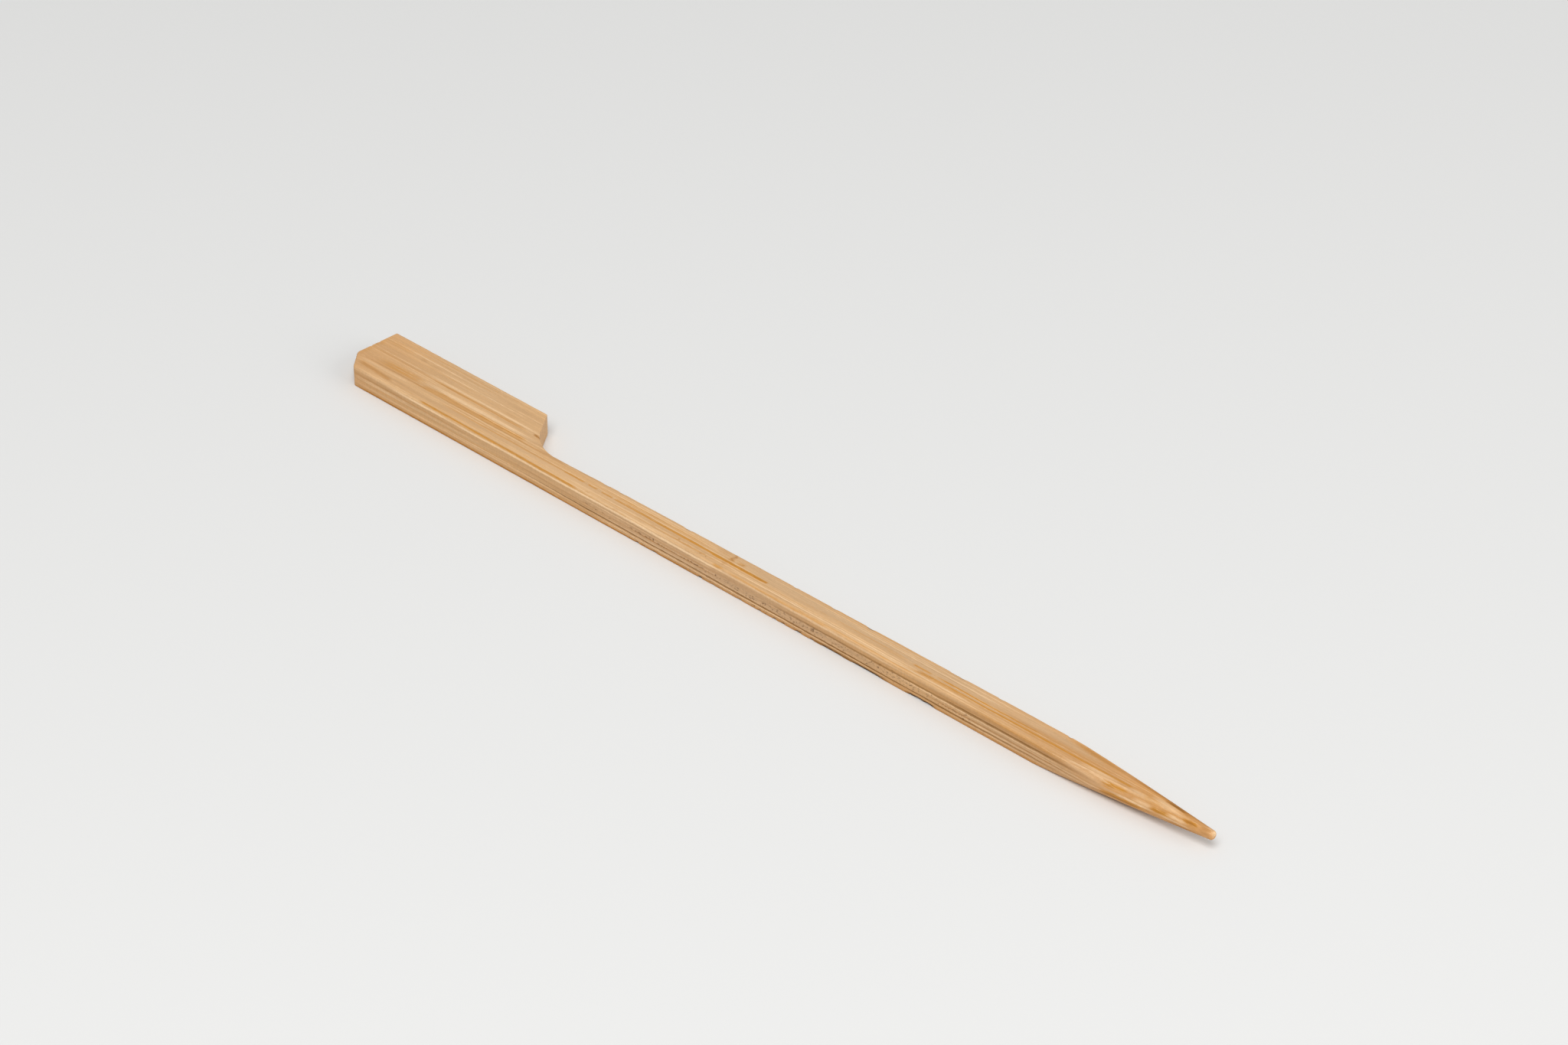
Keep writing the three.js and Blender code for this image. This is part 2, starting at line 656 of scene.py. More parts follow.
    def relief(self, along: float, across: float, up: float, sawn: float) -> float:
        """Depth of the fine fibre relief below the plain surface.

        Args:
            along: Place along the strip.
            across: Place across it.
            up: Height in it.
            sawn: 1 on a sawn side, 0 on a planed face.

        Returns:
            The depth, never below zero.
        """
        planed = 0.006 * (1 + grain(along, across, up, length=16.0, width=0.3, seed=1.3))
        planed += 0.004 * (1 + grain(along, across, up, length=6.0, width=0.13, seed=7.7))
        rough = 0.005 * (1 + grain(along, across, up, length=1.6, width=0.2, seed=4.1))
        rough += 0.005 * (1 + noise.noise(Vector((along / 0.3, across / 0.9, up / 0.7))))
        return mix(planed, planed * 0.5 + rough, sawn)

    def build(self) -> bpy.types.Object:
        """Draws a ring out along the strip, shapes it and closes both ends.

        Returns:
            The pick's object.
        """
        ring = make_ring(face_steps=36, near_steps=27, far_steps=18, edge_steps=5)
        slices = self.slices()
        rows, turns = len(slices) - 1, len(ring)
        strip = bmesh.new()
        bmesh.ops.create_grid(strip, x_segments=rows, y_segments=turns, size=1)
        sawn_layer = strip.verts.layers.float.new("sawn")
        # The pit layer holds the share of painted shade from the pits and chips
        pit_shade_layer = strip.verts.layers.float.new("pit")
        for vert in strip.verts:
            row = round((vert.co.x + 1) / 2 * rows)
            turn = round((vert.co.y + 1) / 2 * turns) % turns
            place, sawn, pit = self.shape(slices[row], ring[turn])
            vert.co = self.origin + place * MM
            vert[sawn_layer] = sawn
            vert[pit_shade_layer] = pit
        bmesh.ops.remove_doubles(strip, verts=strip.verts[:], dist=self.weld)
        bmesh.ops.recalc_face_normals(strip, faces=strip.faces[:])
        strip.normal_update()
        cut_layer = strip.verts.layers.float.new("cut")
        for vert in strip.verts:
            vert[cut_layer] = smooth_step(*self.cut_facing, abs(vert.normal.x))
        for face in strip.faces:
            face.smooth = True
        mesh = bpy.data.meshes.new("planed_strip")
        strip.to_mesh(mesh)
        strip.free()
        return add_object("planed_strip", mesh)

    def shape(self, part: Slice, spot: RingPoint) -> tuple[Vector, float, float]:
        """Works out one vertex of the pick.

        Args:
            part: The pick at the vertex's station.
            spot: The vertex's place in the ring.

        Returns:
            Its place, its share of sawn finish and the share of painted shade from the pits and chips that
            it lies in, 0 to 1.
        """
        along, closing, section = part.station.along, part.station.closing, part.section
        across, up = spot.place(section)
        outward = Vector((0.0, *spot.outward))
        chip = part.wear_at(across, up)
        pit = 0.0
        groove = 0.0
        if spot.on_near_side:
            pit = max((pore.depth_at(along, up) for pore in part.pores), default=0.0)
            groove = sum(each.depth_at(along, up) for each in GROOVES)
        across, up, turned = self.turn_point(along, across, up)
        if turned > 0 and along < self.length:
            middle = self.shaft_width(self.point_start) / 2
            height = self.point.centre_up(along - self.point_start)
            radial = Vector((0.0, across - middle, up - height)).normalized()
            outward = outward.lerp(radial, turned).normalized()
        sawn = spot.sawn * smooth_step(*self.sawn_end, along)
        off_ends = smooth_step(self.length, self.length - self.calm_tip, along)
        off_ends *= smooth_step(0.0, self.calm_end, along)
        depth = self.relief(along, across, up, sawn) + (chip + pit + groove) * (1 - turned)
        if closing > 0:
            half = (section.high - section.low) / 2
            target = (mix(section.near + half, section.far - half, spot.span), section.low + half)
            if along > self.point_start:
                target = (self.shaft_width(self.point_start) / 2, self.point.tip_height)
            across, up = mix(across, target[0], closing), mix(up, target[1], closing)
        place = Vector((along, across, up)) - outward * depth * off_ends
        ragged = self.ragged_depth * max(0.0, noise.noise(Vector((2.7, across / 0.6, up / 0.9))) - 0.15)
        place.x += ragged * smooth_step(self.ragged_reach, 0.0, along)
        if along == 0.0:
            rough = 0.02 * (1 + grain(0.0, across, up, length=1.0, width=0.22, seed=3.7))
            place.x += rough * smooth_step(0.0, 0.2, closing)
            sawn = 1.0
        # The share of painted shade that the pits and chips give, darker where they are deeper
        painted_shade = (pit + self.chip_shade_share * chip * (1 - turned)) / self.full_pit_shade
        return place, sawn, min(1.0, painted_shade)


class Signal:
    """A node's output that Python's arithmetic signs work on."""

    def __init__(self, graph: "Graph", socket: bpy.types.NodeSocket) -> None:
        """Wraps an output socket of a node in a graph."""
        self.graph = graph
        self.socket = socket

    def __add__(self, other: "Signal | float") -> "Signal":
        """The sum."""
        return self.graph.math("ADD", self, other)

    __radd__ = __add__

    def __sub__(self, other: "Signal | float") -> "Signal":
        """The difference."""
        return self.graph.math("SUBTRACT", self, other)

    def __rsub__(self, other: float) -> "Signal":
        """The difference the other way round."""
        return self.graph.math("SUBTRACT", other, self)

    def __mul__(self, other: "Signal | float") -> "Signal":
        """The product."""
        return self.graph.math("MULTIPLY", self, other)

    __rmul__ = __mul__

    def above(self, other: "Signal | float") -> "Signal":
        """The larger of the two."""
        return self.graph.math("MAXIMUM", self, other)

    def step(self, low: float, high: float) -> "Signal":
        """A soft step from 0 at low to 1 at high."""
        sockets = {"Value": self, "From Min": low, "From Max": high}
        return self.graph.node("MapRange", {"interpolation_type": "SMOOTHSTEP"}, sockets)


class Graph:
    """The node graph of a material or of the world."""

    def __init__(self, owner: bpy.types.Material | bpy.types.World) -> None:
        """Empties the graph for new nodes.

        Args:
            owner: The material or the world.
        """
        owner.use_nodes = True
        self.tree = owner.node_tree
        self.tree.nodes.clear()

    def node(
        self, kind: str, settings: dict[str, object], sockets: dict[str | int, object],
        output: str | int | None = 0,
    ) -> "Signal | None":
        """Adds a node.

        Args:
            kind: The node's type, without the part that all types start with.
            settings: Its settings, which are set first.
            sockets: The values or signals of its inputs, by name or by number.
            output: The output that is wanted, by name or by number, or None for a last node.

        Returns:
            That output.
        """
        made = self.tree.nodes.new("ShaderNode" + kind)
        for name, value in settings.items():
            setattr(made, name, value)
        for name, value in sockets.items():
            if isinstance(value, Signal):
                self.tree.links.new(value.socket, made.inputs[name])
            else:
                made.inputs[name].default_value = value
        return None if output is None else Signal(self, made.outputs[output])

    def math(self, operation: str, *values: Signal | float, clamp: bool = False) -> Signal:
        """Adds a Math node on numbers or signals."""
        settings = {"operation": operation, "use_clamp": clamp}
        return self.node("Math", settings, dict(enumerate(values)))

    def vector(self, operation: str, *values: Signal | Triple) -> Signal:
        """Adds a Vector Math node.

        Args:
            operation: What it does.
            values: The vectors or signals that it works on.

        Returns:
            Its vector, or its number where it gives one.
        """
        output = "Value" if operation in ("LENGTH", "DOT_PRODUCT") else "Vector"
        settings = {"operation": operation}
        return self.node("VectorMath", settings, dict(enumerate(values)), output)

    def blend(self, share: Signal | float, first: object, second: object, way: str = "MIX") -> Signal:
        """Mixes a share of the second colour into the first; both are written or signals."""
        settings = {"data_type": "RGBA", "blend_type": way}
        return self.node("Mix", settings, {0: share, 6: first, 7: second}, 2)

    def shade(self, colour: Signal, amount: Signal) -> Signal:
        """Darkens or lightens a colour by a number."""
        grey = self.node("CombineColor", {}, {0: amount, 1: amount, 2: amount})
        return self.blend(1.0, colour, grey, "MULTIPLY")

    def noise(self, place: Signal, stretch: Triple, detail: float, output: str | int = 0) -> Signal:
        """A noise pattern on a place in millimetres.

        Args:
            place: The place.
            stretch: How fast the pattern changes in each direction.
            detail: Number of finer layers.
            output: The output that is wanted.

        Returns:
            The pattern.
        """
        stretched = self.vector("MULTIPLY", place, stretch)
        sockets = {"Vector": stretched, "Scale": 1.0, "Detail": detail, "Roughness": 0.55}
        return self.node("TexNoise", {}, sockets, output)


class Tint(Enum):
    """The colours of fibre bundles, patches, painted highlight and painted shade, in linear light."""

    DULL = (0.55, 0.365, 0.205, 1.0)
    GOLD = (0.555, 0.24, 0.028, 1.0)
    CREAM = (0.88, 0.61, 0.355, 1.0)
    BROWN = (0.43, 0.195, 0.05, 1.0)
    RUST = (0.37, 0.14, 0.012, 1.0)
    DARK = (0.24, 0.1, 0.01, 1.0)
    PORE = (0.17, 0.08, 0.033, 1.0)


@dataclass(frozen=True)
class Bundle:
    """A fibre bundle, a patch or a band of painted highlight or shade, lying along the strip.

    It has a start and an end along the strip, a middle line across and up, a half width and a
    half depth. Its slope and rise are how far it drifts across and up per millimetre. Unless it
    says otherwise it lies in the planed upper face.
    """

    tint: Tint
    start: float
    end: float
    across: float
    half_width: float
    strength: float
    fade: float = 1.5
    slope: float = 0.0
    up: float = 2.5
    half_depth: float = 0.35
    rise: float = 0.0

    @property
    def soft_end(self) -> float:
        """The length over which each end fades, at most half of the bundle's."""
        return min(self.fade, (self.end - self.start) / 2)


def on_side(
    tint: Tint, start: float, end: float, up: float, half_height: float, strength: float,
    fade: float = 4.0, rise: float = 0.0,
) -> Bundle:
    """A bundle, patch or band of painted highlight or shade in the sawn near side."""
    return Bundle(tint, start, end, 0.0, 0.3, strength, fade, 0.0, up, half_height, rise)


def on_point(
    tint: Tint, start: float, end: float, across: float, up: float, half_width: float,
    strength: float, slope: float = 0.0,
) -> Bundle:
    """A bundle, patch or band of painted highlight or shade that the turned point cuts through at a slant.
    """
    fade = (end - start) * 0.35
    return Bundle(tint, start, end, across, half_width, strength, fade, slope, up, half_width)


# Streaks and patches of the upper face. Each row gives the start, the end, the place across,
# the half width, the strength, the fade and the slope.
TOP_ROWS = {
    Tint.DULL: (
        (5, 23, 6.6, 1.6, 0.28, 6), (52, 99, 2, 0.75, 0.6, 10), (93, 108, 2.1, 0.6, 0.5, 4),
    ),
    Tint.BROWN: (
        (0.2, 9.5, 4.22, 0.12, 0.34), (4, 25.9, 4.1, 0.1, 0.34, 3), (21.2, 22.7, 4.12, 0.13, 0.4, 0.5),
        (25.8, 27.4, 4.04, 0.14, 1, 0.35, -0.12), (21.2, 23, 2.5, 0.2, 0.3, 0.5),
        (1.4, 7.4, 0.98, 0.24, 0.42, 0.8, -0.075), (0.8, 12, 2.22, 0.08, 0.45),
        (11, 33, 2.23, 0.06, 0.4, 3, 0.003), (5.6, 7.2, 6.1, 0.2, 0.26, 0.7),
        (7, 10.5, 5.9, 0.4, 0.12, 1.5), (20, 22.5, 5, 0.25, 0.14, 1), (50.9, 53.2, 0.6, 0.06, 0.4, 0.5),
        (28, 33, 2.4, 0.14, 0.45), (33, 42, 2.5, 0.08, 0.25), (60, 80, 0.5, 0.05, 0.22, 4),
        (75, 92, 2.02, 0.05, 0.25, 3), (80, 92, 0.3, 0.05, 0.3, 3), (83.4, 85.6, 0.78, 0.12, 0.3, 0.3),
        (89.5, 95.5, 0.52, 0.06, 0.45, 1.5), (94, 100.5, 0.58, 0.06, 0.35, 1.5),
        (56.9, 57.6, 2.3, 0.5, 0.5, 0.25), (54.6, 57, 2.45, 0.35, 0.22, 1),
        (93, 111.5, 1.45, 0.42, 0.3, 4), (56.8, 57.5, 0.95, 0.4, 0.3, 0.3),
        (58.5, 59.2, 2.02, 0.12, 0.5, 0.3), (50.6, 51.05, 0.82, 0.2, 0.5, 0.15),
        (46.8, 47.6, 0.8, 0.1, 0.3, 0.3), (41.7, 42.8, 0.15, 0.15, 0.25, 0.4),
        (37.4, 38.4, 0.4, 0.12, 0.25, 0.4),
    ),
    Tint.GOLD: (
        (9.8, 25.2, 4.1, 0.16, 0.6, 2), (10.2, 26.3, 2.77, 0.12, 0.8, 3, -0.004),
        (18.2, 26.3, 2.76, 0.17, 1.3, 1.2), (7.5, 30.5, 2.24, 0.1, 0.5, 3),
        (10, 26.3, 2.48, 0.28, 0.46, 1), (2.2, 10.4, 2.86, 0.5, 0.62, 3),
        (3.4, 5.4, 2.92, 0.2, 0.36, 0.8), (7, 9.6, 2.76, 0.2, 0.5, 0.8),
        (1.4, 7, 1, 0.3, 0.3, 0.8, -0.075), (14, 27, 1.82, 0.07, 0.35, 3), (0, 5, 6.2, 0.4, 0.22),
        (0, 0.7, 4.3, 2.3, 0.3, 0.3), (13, 39, 1.47, 0.1, 0.5, 5), (33.3, 36.4, 1.46, 0.11, 1.2, 0.3),
        (36.8, 38.4, 1.46, 0.11, 1.25, 0.3), (38.8, 40.6, 1.46, 0.11, 1.2, 0.3),
        (40.8, 62.8, 1.45, 0.13, 1.7, 0.3, -0.003), (54.5, 62.9, 1.4, 0.17, 2, 1.6),
        (12, 36.8, 0.17, 0.12, 0.95, 0.9, -0.006), (37.5, 55.4, 0.63, 0.06, 0.5, 3, -0.003),
        (38, 54.8, 2.02, 0.055, 0.75, 4), (34, 58, 1.84, 0.05, 0.4, 4), (62, 81, 0.94, 0.05, 0.5, 4),
        (58, 73, 0.13, 0.045, 0.5, 2), (70, 85, 0.24, 0.05, 0.5, 3), (78.7, 81.8, 1.38, 0.09, 0.3, 0.8),
        (82.4, 85.1, 1.4, 0.12, 0.75, 0.5), (85.3, 99.8, 1.4, 0.12, 0.85, 1.5, -0.003),
        (83.2, 90.5, 0.86, 0.2, 0.5, 1), (83.6, 110.6, 0.985, 0.12, 1.15, 0.8, 0.005),
        (107.3, 110.6, 1.04, 0.14, 1, 0.5, 0.03), (56.7, 57.8, 1.85, 0.3, 0.4, 0.3),
        (94, 110, 1.25, 0.5, 0.25, 5), (25, 40, 1.85, 0.4, 0.14, 6), (58, 59.3, 1.95, 0.22, 0.5, 0.4),
        (56.2, 57.9, 0.1, 0.22, 0.6, 0.5),
    ),
    Tint.RUST: (
        (25.7, 26.5, 4.12, 0.12, 0.45, 0.25), (5.8, 7, 0.84, 0.14, 0.12, 0.4),
        (56.3, 58.6, 1.42, 0.08, 0.34, 0.4), (58.9, 60.4, 1.39, 0.08, 0.34, 0.3),
        (60.7, 62.8, 1.38, 0.09, 0.42, 0.3), (57.05, 57.45, 2.62, 0.2, 0.5, 0.2),
        (56.95, 57.5, 1.98, 0.17, 0.55, 0.25),
    ),
    Tint.CREAM: (
        (9, 28, 3.2, 0.26, 0.66, 5), (8, 28, 4.5, 0.15, 0.6, 4), (0.8, 9, 1.8, 0.2, 0.28),
        (17, 29, 2.03, 0.08, 0.35, 3), (15, 31, 0.62, 0.2, 0.25, 4), (37, 57, 2.16, 0.09, 0.32),
        (44, 62.6, 1.66, 0.08, 0.4, 3), (33, 47, 0.8, 0.13, 0.35, 3), (45, 54, 0.42, 0.14, 0.4, 3),
        (58, 83.4, 0.65, 0.08, 0.7, 3, 0.001), (61, 86, 2.4, 0.07, 0.36, 3),
        (73, 94, 2.12, 0.06, 0.55, 3), (77, 91, 0.4, 0.09, 0.4, 3), (22, 50, 0.9, 0.5, 0.16, 6),
        (102.8, 107.4, 0.3, 0.1, 0.68, 1.2, 0.06), (104.2, 109.6, 0.76, 0.2, 0.58, 1.8, 0.03),
        (110.2, 113, 0.84, 0.22, 0.6, 0.9, 0.03), (105, 113, 0.54, 0.12, 0.5, 2, 0.06),
        (111, 117.8, 1, 0.14, 0.55, 2, 0.08), (112.4, 116.8, 1.28, 0.24, 0.68, 1.6, -0.02),
    ),
    Tint.DARK: (
        (54, 54.35, 0.56, 0.06, 0.55, 0.15), (54.85, 55.15, 0.54, 0.06, 0.5, 0.12),
    ),
}

# Those of the near side: start, end, height, half height, strength, fade and rise
SIDE_ROWS = {
    Tint.GOLD: (
        # The two rows at height 0.12 paint shade along the lower edge, in gold
        (0, 88, 0.45, 0.26, 0.2, 6), (0, 56, 0.12, 0.18, 0.85, 5), (49, 104, 0.12, 0.18, 0.56, 5),
        (52, 84, 2.22, 0.2, 0.24, 8), (90, 104, 2.2, 0.24, 0.5, 3), (58.3, 72.5, 2.37, 0.05, 0.5, 1),
        (2, 30, 1.05, 0.16, 0.2), (62, 98, 1.86, 0.26, 0.28, 8),
    ),
    Tint.CREAM: (
        # The six rows at heights 2.14 to 2.32 are a painted highlight along the rounded near top edge
        (6, 20, 2.21, 0.12, 1.1, 6), (14, 62, 2.2, 0.12, 1.2, 8), (50, 86, 2.2, 0.12, 0.55, 8),
        (82, 96, 2.24, 0.12, 0.12, 4), (102.6, 107.8, 2.14, 0.26, 0.28, 1.4), (0.5, 14, 2.32, 0.2, 0.3),
        (1, 24, 1.32, 0.16, 0.2), (1, 37, 0.62, 0.12, 0.3), (38, 82, 0.48, 0.05, 0.75, 4, -0.001),
        (38, 66, 0.93, 0.05, 0.3, 4, -0.003), (80, 103, 1.42, 0.07, 0.5), (88, 103, 0.83, 0.07, 0.5),
        (88, 103, 0.44, 0.07, 0.45),
    ),
    Tint.BROWN: (
        # The second row paints shade that darkens the middle of the near side towards the point
        (86, 103.5, 2.24, 0.16, 0.22, 5), (92, 110, 1, 0.6, 0.24, 5), (91, 107, 1.8, 0.24, 0.62, 4),
        (40, 66, 1.78, 0.24, 0.27, 8), (64, 106, 0.52, 0.16, 0.3, 5), (0.5, 11, 1.72, 0.13, 0.42, 2),
        (8, 24, 1.78, 0.2, 0.16), (24, 50, 1.33, 0.13, 0.34), (30, 46, 1.05, 0.05, 0.3),
        (43, 58, 1.28, 0.09, 0.75, 4, -0.003), (82, 105, 1.92, 0.26, 0.42, 6),
        # The row at height 0 paints shade along the lower edge
        (84, 107, 1.06, 0.065, 0.85), (50, 106, 0, 0.24, 0.7), (88, 104, 0.3, 0.05, 0.3),
    ),
    Tint.DULL: (
        (90, 109, 1.1, 0.9, 0.6, 6),
    ),
    Tint.DARK: (
        (26, 99, 0.68, 0.065, 1.15, 14, -0.0037), (53, 83, 0.57, 0.035, 0.6, 5, -0.002),
        (75.8, 78.2, 0.6, 0.05, 0.6, 0.5), (60, 106, 1.58, 0.09, 0.66, 10, 0.003),
        (86, 105, 1.69, 0.11, 0.85, 4), (83, 103, 0.66, 0.055, 0.8, 3),
        # The last three rows paint shade in the chipped lower edge, from 70 to 87 mm along
        (88.2, 90.8, 0.62, 0.06, 0.5, 0.4), (70, 80.6, 0.16, 0.14, 0.85, 0.8),
        (71.5, 77.5, 0.3, 0.08, 0.5, 0.8), (82.6, 86.8, 0.16, 0.12, 0.8, 0.6),
    ),
    Tint.PORE: (
        (40, 57, 1.29, 0.09, 1, 3, -0.003), (53, 96, 1.12, 0.42, 0.9, 6), (43, 73, 0.26, 0.1, 0.9, 1),
    ),
    Tint.RUST: (
        # Painted shade along the lower edge, in rust, up to 55 mm along
        (0.5, 55, 0, 0.22, 0.8),
    ),
}

# Those of the turned point: start, end, across, height, half width, strength and slope
POINT_ROWS = {
    Tint.GOLD: (
        (108, 121, 1.5, 2.2, 1.6, 0.35), (111.4, 114.5, 0.9, 2.4, 0.16, 1.6, 0.03),
        (116.3, 118.6, 1.09, 2.14, 0.16, 1.6, 0.03), (107.4, 110.8, 0.36, 2.2, 0.18, 1.5, 0.11),
        (112.8, 115.7, 0.62, 1.88, 0.2, 1.4, 0.1), (106.8, 113.8, 0.27, 1.32, 0.16, 1.5, 0.05),
        # The last row paints shade along the far top edge where the point starts
        (106.4, 113.2, 0.25, 1.08, 0.16, 1.6, 0.05), (101, 109.5, 2.5, 2.48, 0.3, 0.6, -0.06),
    ),
    Tint.BROWN: (
        # The second row paints shade along the far top edge where the point starts
        (110, 121, 1.5, 2.3, 1.6, 0.16), (101.5, 109.5, 2.5, 2.48, 0.2, 0.6, -0.06),
        (118.4, 119.8, 1.3, 2, 0.3, 0.6),
    ),
    Tint.DULL: (
        (101, 110, 0.1, 1.3, 0.7, 0.4),
    ),
    Tint.RUST: (
        (113.6, 117.4, 1.7, 2.45, 0.17, 0.95, -0.03), (116.5, 118.4, 1.09, 2.14, 0.13, 0.8, 0.03),
        (112.8, 114.8, 0.58, 1.84, 0.09, 0.4, 0.1), (107, 112.6, 0.25, 1.14, 0.11, 0.8, 0.05),
        # These two rows paint shade along the point's far upper flank and its near lower flank
        (106.5, 119.5, 2.05, 2.3, 0.2, 1, -0.06), (112, 119.5, 0.95, 1.3, 0.22, 0.6, 0.03),
    ),
    Tint.DARK: (
        (114, 116.6, 1.68, 2.48, 0.13, 0.75, -0.03),
    ),
    Tint.CREAM: (
        (114.8, 117.4, 0.72, 2, 0.18, 0.85, 0.09), (111, 113.6, 0.48, 1.94, 0.2, 0.6, 0.1),
        (108, 114, 0.38, 1.62, 0.13, 0.9, 0.06), (113.5, 118, 0.72, 1.62, 0.12, 0.7, 0.06),
        # The last row is a pale spot on the tip's end: partly its own pale colour, partly a painted
        # highlight
        (119.6, 120.6, 1.6, 1.9, 0.3, 0.8),
    ),
}

SEEN_BUNDLES = tuple(
    lay(tint, *row)
    for lay, table in ((Bundle, TOP_ROWS), (on_side, SIDE_ROWS), (on_point, POINT_ROWS))
    for tint, rows in table.items()
    for row in rows
)


# Rows of the underside: the count, then the least and the most of start, length, across, half
# width, strength and fade
HIDDEN_ROWS = (
    (16, (-6, 90), (16, 46), (0.2, 2.7), (0.09, 0.22), (0.4, 0.8), (0.5, 5)),
    (6, (-4, 8), (10, 24), (3.2, 7.4), (0.12, 0.35), (0.35, 0.7), (1, 4)),
)


def hidden_bundles(seed: int) -> tuple[Bundle, ...]:
    """Bundles for the underside and the far sides, of the same kinds as those in view.

    Args:
        seed: Seed of the random draws.

    Returns:
        The bundles.
    """
    draw = random.Random(seed)
    made = []
    kinds = (Tint.GOLD, Tint.GOLD, Tint.BROWN, Tint.CREAM)
    for count, *ranges in HIDDEN_ROWS:
        for order in range(count):
            start, length, across, half_width, strength, fade = (draw.uniform(*each) for each in ranges)
            made.append(Bundle(
                kinds[order % len(kinds)], start, min(118.0, start + length), across, half_width, strength,
                up=0.0, fade=fade,
            ))
    for order in range(5):
        start = draw.uniform(26, 80)
        made.append(Bundle(
            (Tint.DARK, Tint.CREAM)[order % 2], start, start + draw.uniform(14, 30),
            across=2.85, half_width=0.35, strength=draw.uniform(0.3, 0.5),
            up=draw.uniform(0.4, 2.1), half_depth=0.1, fade=4,
        ))
    for order in range(3):
        made.append(Bundle(
            (Tint.BROWN, Tint.CREAM)[order % 2], 0, draw.uniform(14, 24),
            across=7.8, half_width=0.35, strength=0.35, up=0.5 + 0.7 * order, half_depth=0.15, fade=3,
        ))
    return tuple(made)


@dataclass(frozen=True)
class PlanedBamboo:
    """Dry bamboo, planed on its two faces and sawn on its sides, without varnish."""

    ground: Colour = (0.685, 0.42, 0.203, 1.0)
    ground_dull: Colour = (0.6, 0.362, 0.174, 1.0)
    sawn: Colour = (0.61, 0.366, 0.172, 1.0)
    sawn_grey: Colour = (0.57, 0.355, 0.19, 1.0)
    ripe: Colour = (0.6, 0.3, 0.11, 1.0)
    # The colour of the painted shade in pits and chips
    pit: Colour = (0.16, 0.075, 0.026, 1.0)
    vessel: Colour = (0.33, 0.165, 0.06, 1.0)
    roughness: float = 0.58
    specular: float = 0.3
    bump: float = 0.5
    bump_depth: float = 0.00002
    strand_strength: float = 0.55
    # The runs over which the sawn sides turn greyer and back, and over which the bamboo turns riper
    # towards the point and is riper at the grip's end
    grey_start: Pair = (30.0, 50.0)
    grey_end: Pair = (70.0, 84.0)
    ripe_start: Pair = (84.0, 114.0)
    ripe_grip: Pair = (-6.0, 14.0)
    # How fast each waver of the pattern changes in each direction, its finer layers and its reach
    wavers: tuple[tuple[Triple, float, Triple], ...] = (
        ((0.11, 0.3, 0.3), 1, (0.0, 0.16, 0.16)),
        ((1.1, 9.0, 9.0), 2, (0.8, 0.13, 0.13)),
    )

    @staticmethod
    def dots(graph: Graph, place: Signal) -> Signal:
        """The open vessels of a sawn side: small dots that lie along it and short upright ticks.

        Args:
            graph: The node graph.
            place: The place in millimetres, with its small waver.

        Returns:
            1 inside them and 0 outside.
        """
        found = []
        for stretch, few in (((2.3, 4.6, 4.6), 0.45), ((5.6, 2.6, 2.6), 0.3)):
            cells = {"Vector": graph.vector("MULTIPLY", place, stretch), "Scale": 1.0}
            off = graph.node("TexVoronoi", {}, cells, "Distance")
            kind = graph.node("TexVoronoi", {}, cells, "Color")
            chosen = graph.vector("DOT_PRODUCT", kind, (1.0, 0.0, 0.0)).step(few, few + 0.3)
            found.append((1 - off.step(0.14, 0.34)) * chosen)
        return found[0].above(found[1])

    @staticmethod
    def vessels(graph: Graph, place: Signal) -> Signal:
        """The ends of the fibre bundles, which show as brown dots where the strip is cut across.

        Args:
            graph: The node graph.
            place: The place in millimetres, with its small waver.

        Returns:
            1 inside them and 0 outside.
        """
        across = graph.vector("DOT_PRODUCT", place, (0.0, 1.7, 0.0))
        up = graph.vector("DOT_PRODUCT", place, (0.0, 0.0, 2.2))
        flat = graph.node("CombineXYZ", {}, {0: across, 1: up})
        cells = {"Vector": flat, "Scale": 1.0}
        off = graph.node("TexVoronoi", {"voronoi_dimensions": "2D"}, cells, "Distance")
        return 1 - off.step(0.12, 0.36)

    @staticmethod
    def bundle_mask(graph: Graph, place: Signal, bundle: Bundle) -> Signal:
        """How strongly one bundle shows at a place.

        Args:
            graph: The node graph.
            place: The place in millimetres, with its small waver.
            bundle: The bundle.

        Returns:
            Its strength inside it, fading to 0 at its edges.
        """
        middle = ((bundle.start + bundle.end) / 2, bundle.across, bundle.up)
        soft = (bundle.soft_end, bundle.half_width, bundle.half_depth)
        half_length = (bundle.end - bundle.start) / 2
        core = (half_length - bundle.soft_end, bundle.half_width * 0.4, bundle.half_depth * 0.4)
        scaled = tuple(1 / each for each in soft)
        held = tuple(-size / each for size, each in zip(core, soft))
        off = graph.vector("SUBTRACT", place, middle)
        if bundle.slope or bundle.rise:
            drift = graph.vector("DOT_PRODUCT", off, (1.0, 0.0, 0.0))
            lean = graph.node("CombineXYZ", {}, {1: drift * bundle.slope, 2: drift * bundle.rise})
            off = graph.vector("SUBTRACT", off, lean)
        off = graph.vector("ABSOLUTE", off)
        off = graph.vector("MULTIPLY_ADD", off, scaled, held)
        off = graph.vector("MAXIMUM", off, (0.0, 0.0, 0.0))
        reach = graph.vector("LENGTH", off)
        return graph.math("MULTIPLY_ADD", reach, -bundle.strength, bundle.strength, clamp=True)

    def material(self, origin: Vector, bundles: tuple[Bundle, ...]) -> bpy.types.Material:
        """Makes the bamboo material.

        Args:
            origin: The low corner of the strip's box, in metres.
            bundles: The bundles that show.

        Returns:
            The material.
        """
        made = bpy.data.materials.new("planed_bamboo")
        graph = Graph(made)
        spot = graph.node("TexCoord", {}, {}, "Object")
        spot = graph.vector("SUBTRACT", spot, tuple(origin))
        spot = graph.vector("MULTIPLY", spot, (1 / MM, 1 / MM, 1 / MM))
